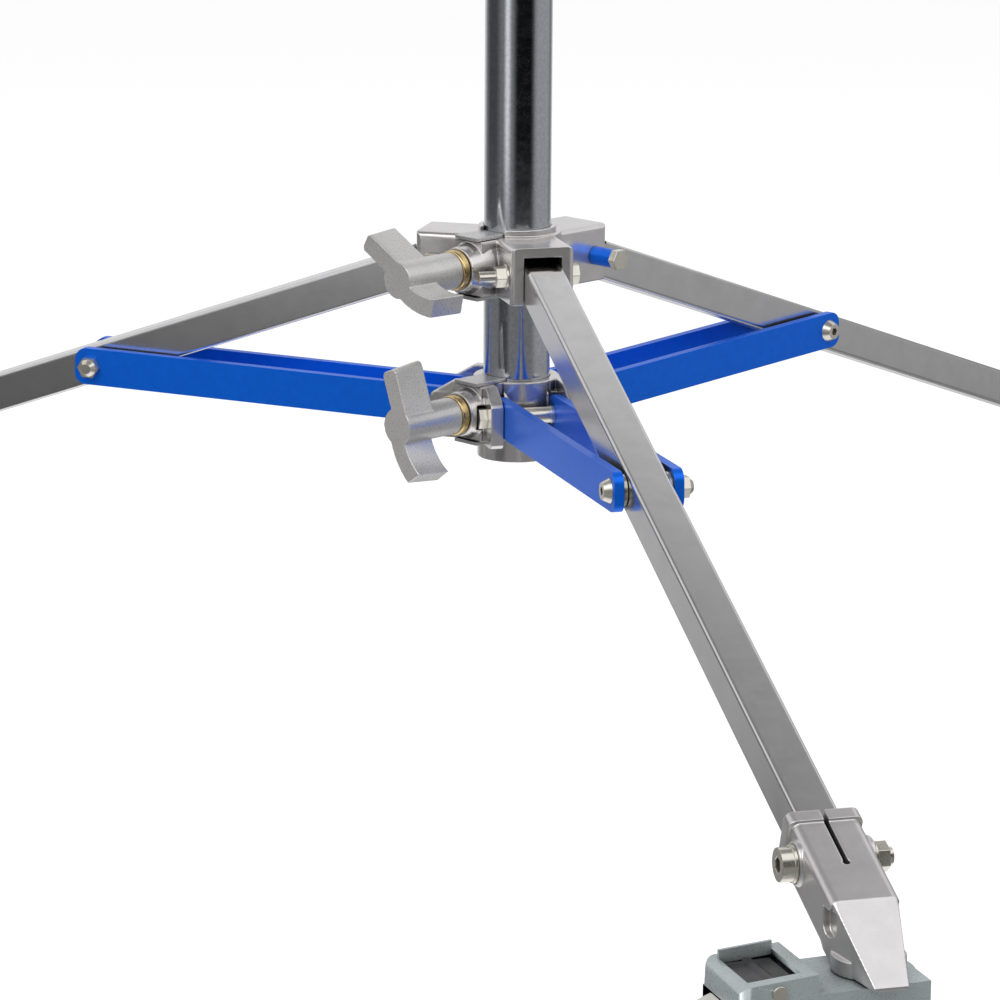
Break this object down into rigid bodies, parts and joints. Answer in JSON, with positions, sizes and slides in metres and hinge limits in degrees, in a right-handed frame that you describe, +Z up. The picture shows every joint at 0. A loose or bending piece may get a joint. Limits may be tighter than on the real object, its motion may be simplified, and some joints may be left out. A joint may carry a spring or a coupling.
{
  "type": "studio light stand",
  "caption": "Wheeled studio light stand: square legs hinged on a sliding collar, flat braces, telescoping column, clamp handles, swivel casters and a socket at the top.",
  "frame": {"origin": "point on the floor under the column's axis", "axes": "+Z up along the column, -Y along the front leg, +X to the right seen from the front leg's end"},
  "size_m": [1.355, 1.2319, 1.3138],
  "materials": {
    "cast_aluminium": "polished cast",
    "shoe_steel": "bent strip, brushed",
    "bolt_steel": "zinc plated",
    "handle_aluminium": "polished cast, slightly worn",
    "brass": "turned, satin",
    "blue_anodised": "blue anodised, satin",
    "column_chrome": "chromed, bright",
    "guide_plastic": "moulded",
    "leg_steel": "chromed, satin",
    "foot_aluminium": "sand cast, satin",
    "caster_zinc": "zinc plated, pressed",
    "tyre_rubber": "smooth, cream grey",
    "hub_nylon": "moulded",
    "pedal_steel": "black, satin"
  },
  "bodies": {
    "brace_collar": {"brace_collar": "cast_aluminium", "brace_collar_shoe": "shoe_steel", "brace_pivot_bolts": "bolt_steel"},
    "brace_handle": {"brace_t_handle": "handle_aluminium", "brace_handle_screw": "brass"},
    "leg_collar": {"leg_collar": "cast_aluminium", "leg_collar_shoe": "shoe_steel", "leg_pivot_bolts": "bolt_steel", "pivot_spacer": "blue_anodised"},
    "leg_handle": {"leg_t_handle": "handle_aluminium", "leg_handle_screw": "brass"},
    "column": {"column_tube": "column_chrome", "column_foot_plug": "guide_plastic", "column_head": "cast_aluminium"},
    "column_handle": {"column_t_handle": "handle_aluminium", "column_handle_screw": "brass"},
    "riser_1": {"riser_1_tube": "column_chrome", "riser_1_plug": "guide_plastic", "riser_1_head": "cast_aluminium"},
    "riser_1_handle": {"riser_1_t_handle": "handle_aluminium", "riser_1_handle_screw": "brass"},
    "riser_2": {"riser_2_tube": "column_chrome", "riser_2_plug": "guide_plastic", "receiver": "cast_aluminium"},
    "receiver_handle": {"receiver_t_handle": "handle_aluminium", "receiver_handle_screw": "brass"},
    "leg_a": {"leg_a_tube": "leg_steel", "leg_a_fittings": "bolt_steel", "foot_a_casting": "foot_aluminium", "caster_a_stem": "bolt_steel"},
    "brace_a": {"brace_a_bars": "blue_anodised", "brace_a_fittings": "bolt_steel"},
    "caster_a": {"caster_a_fork": "caster_zinc", "caster_a_axle": "bolt_steel"},
    "wheel_a": {"wheel_a_tyre": "tyre_rubber", "wheel_a_hub": "hub_nylon"},
    "pedal_a": {"caster_a_pedal": "pedal_steel"},
    "leg_b": {"leg_b_tube": "leg_steel", "leg_b_fittings": "bolt_steel", "foot_b_casting": "foot_aluminium", "caster_b_stem": "bolt_steel"},
    "brace_b": {"brace_b_bars": "blue_anodised", "brace_b_fittings": "bolt_steel"},
    "caster_b": {"caster_b_fork": "caster_zinc", "caster_b_axle": "bolt_steel"},
    "wheel_b": {"wheel_b_tyre": "tyre_rubber", "wheel_b_hub": "hub_nylon"},
    "pedal_b": {"caster_b_pedal": "pedal_steel"},
    "leg_c": {"leg_c_tube": "leg_steel", "leg_c_fittings": "bolt_steel", "foot_c_casting": "foot_aluminium", "caster_c_stem": "bolt_steel"},
    "brace_c": {"brace_c_bars": "blue_anodised", "brace_c_fittings": "bolt_steel"},
    "caster_c": {"caster_c_fork": "caster_zinc", "caster_c_axle": "bolt_steel"},
    "wheel_c": {"wheel_c_tyre": "tyre_rubber", "wheel_c_hub": "hub_nylon"},
    "pedal_c": {"caster_c_pedal": "pedal_steel"}
  },
  "joints": [
    {"name": "fold", "type": "slide", "parent": "brace_collar", "child": "leg_collar", "axis": [0, 0, 1], "range_m": [0, 0.40187]},
    {"name": "column_slide", "type": "slide", "parent": "brace_collar", "child": "column", "axis": [0, 0, 1], "range_m": [-0.2, 0]},
    {"name": "riser_1_slide", "type": "slide", "parent": "column", "child": "riser_1", "axis": [0, 0, 1], "range_m": [0, 0.62]},
    {"name": "riser_2_slide", "type": "slide", "parent": "riser_1", "child": "riser_2", "axis": [0, 0, 1], "range_m": [0, 0.62]},
    {"name": "brace_handle_turn", "type": "hinge", "parent": "brace_collar", "child": "brace_handle", "pos_m": [-0.06062, -0.035, 0.30305], "axis": [-0.866, -0.5, 0], "range_deg": [0, 360]},
    {"name": "leg_handle_turn", "type": "hinge", "parent": "leg_collar", "child": "leg_handle", "pos_m": [-0.06062, -0.035, 0.40125], "axis": [-0.866, -0.5, 0], "range_deg": [0, 360]},
    {"name": "column_handle_turn", "type": "hinge", "parent": "column", "child": "column_handle", "pos_m": [-0.06062, -0.035, 1.10125], "axis": [-0.866, -0.5, 0], "range_deg": [0, 360]},
    {"name": "riser_1_handle_turn", "type": "hinge", "parent": "riser_1", "child": "riser_1_handle", "pos_m": [-0.06062, -0.035, 1.17525], "axis": [-0.866, -0.5, 0], "range_deg": [0, 360]},
    {"name": "receiver_handle_turn", "type": "hinge", "parent": "riser_2", "child": "receiver_handle", "pos_m": [-0.06062, -0.035, 1.2778], "axis": [-0.866, -0.5, 0], "range_deg": [0, 360]},
    {"name": "leg_a_hinge", "type": "hinge", "parent": "leg_collar", "child": "leg_a", "pos_m": [0, -0.053, 0.4], "axis": [1, 0, 0], "range_deg": [-0.05, 56.05]},
    {"name": "brace_a_hinge", "type": "hinge", "parent": "brace_collar", "child": "brace_a", "pos_m": [0, -0.037, 0.3018], "axis": [-1, 0, 0], "range_deg": [-0.05, 69.29]},
    {"name": "caster_a_swivel", "type": "hinge", "parent": "leg_a", "child": "caster_a", "pos_m": [0, -0.71, 0.15], "axis": [0, 0, 1], "continuous": true},
    {"name": "wheel_a_spin", "type": "hinge", "parent": "caster_a", "child": "wheel_a", "pos_m": [-0.05977, -0.71523, 0.075], "axis": [0.0872, -0.9962, 0], "continuous": true},
    {"name": "pedal_a_rock", "type": "hinge", "parent": "caster_a", "child": "pedal_a", "pos_m": [-0.06176, -0.7154, 0.1565], "axis": [0.0872, -0.9962, 0], "range_deg": [-12, 12]},
    {"name": "leg_b_hinge", "type": "hinge", "parent": "leg_collar", "child": "leg_b", "pos_m": [0.0459, 0.0265, 0.4], "axis": [-0.5, 0.866, 0], "range_deg": [-0.05, 56.05]},
    {"name": "brace_b_hinge", "type": "hinge", "parent": "brace_collar", "child": "brace_b", "pos_m": [0.03204, 0.0185, 0.3018], "axis": [0.5, -0.866, 0], "range_deg": [-0.05, 69.29]},
    {"name": "caster_b_swivel", "type": "hinge", "parent": "leg_b", "child": "caster_b", "pos_m": [0.61488, 0.355, 0.15], "axis": [0, 0, 1], "continuous": true},
    {"name": "wheel_b_spin", "type": "hinge", "parent": "caster_b", "child": "wheel_b", "pos_m": [0.64929, 0.30585, 0.075], "axis": [0.8192, 0.5736, 0], "continuous": true},
    {"name": "pedal_b_rock", "type": "hinge", "parent": "caster_b", "child": "pedal_b", "pos_m": [0.65044, 0.30421, 0.1565], "axis": [0.8192, 0.5736, 0], "range_deg": [-12, 12]},
    {"name": "leg_c_hinge", "type": "hinge", "parent": "leg_collar", "child": "leg_c", "pos_m": [-0.0459, 0.0265, 0.4], "axis": [-0.5, -0.866, 0], "range_deg": [-0.05, 56.05]},
    {"name": "brace_c_hinge", "type": "hinge", "parent": "brace_collar", "child": "brace_c", "pos_m": [-0.03204, 0.0185, 0.3018], "axis": [0.5, 0.866, 0], "range_deg": [-0.05, 69.29]},
    {"name": "caster_c_swivel", "type": "hinge", "parent": "leg_c", "child": "caster_c", "pos_m": [-0.61488, 0.355, 0.15], "axis": [0, 0, 1], "continuous": true},
    {"name": "wheel_c_spin", "type": "hinge", "parent": "caster_c", "child": "wheel_c", "pos_m": [-0.58952, 0.40938, 0.075], "axis": [-0.9063, 0.4226, 0], "continuous": true},
    {"name": "pedal_c_rock", "type": "hinge", "parent": "caster_c", "child": "pedal_c", "pos_m": [-0.58868, 0.41119, 0.1565], "axis": [-0.9063, 0.4226, 0], "range_deg": [-12, 12]}
  ],
  "couplings": [
    {"joint": "leg_a_hinge", "follows": "fold", "rad_per_m": 2.4321},
    {"joint": "brace_a_hinge", "follows": "fold", "rad_per_m": 3.007},
    {"joint": "leg_b_hinge", "follows": "fold", "rad_per_m": 2.4321},
    {"joint": "brace_b_hinge", "follows": "fold", "rad_per_m": 3.007},
    {"joint": "leg_c_hinge", "follows": "fold", "rad_per_m": 2.4321},
    {"joint": "brace_c_hinge", "follows": "fold", "rad_per_m": 3.007}
  ]
}
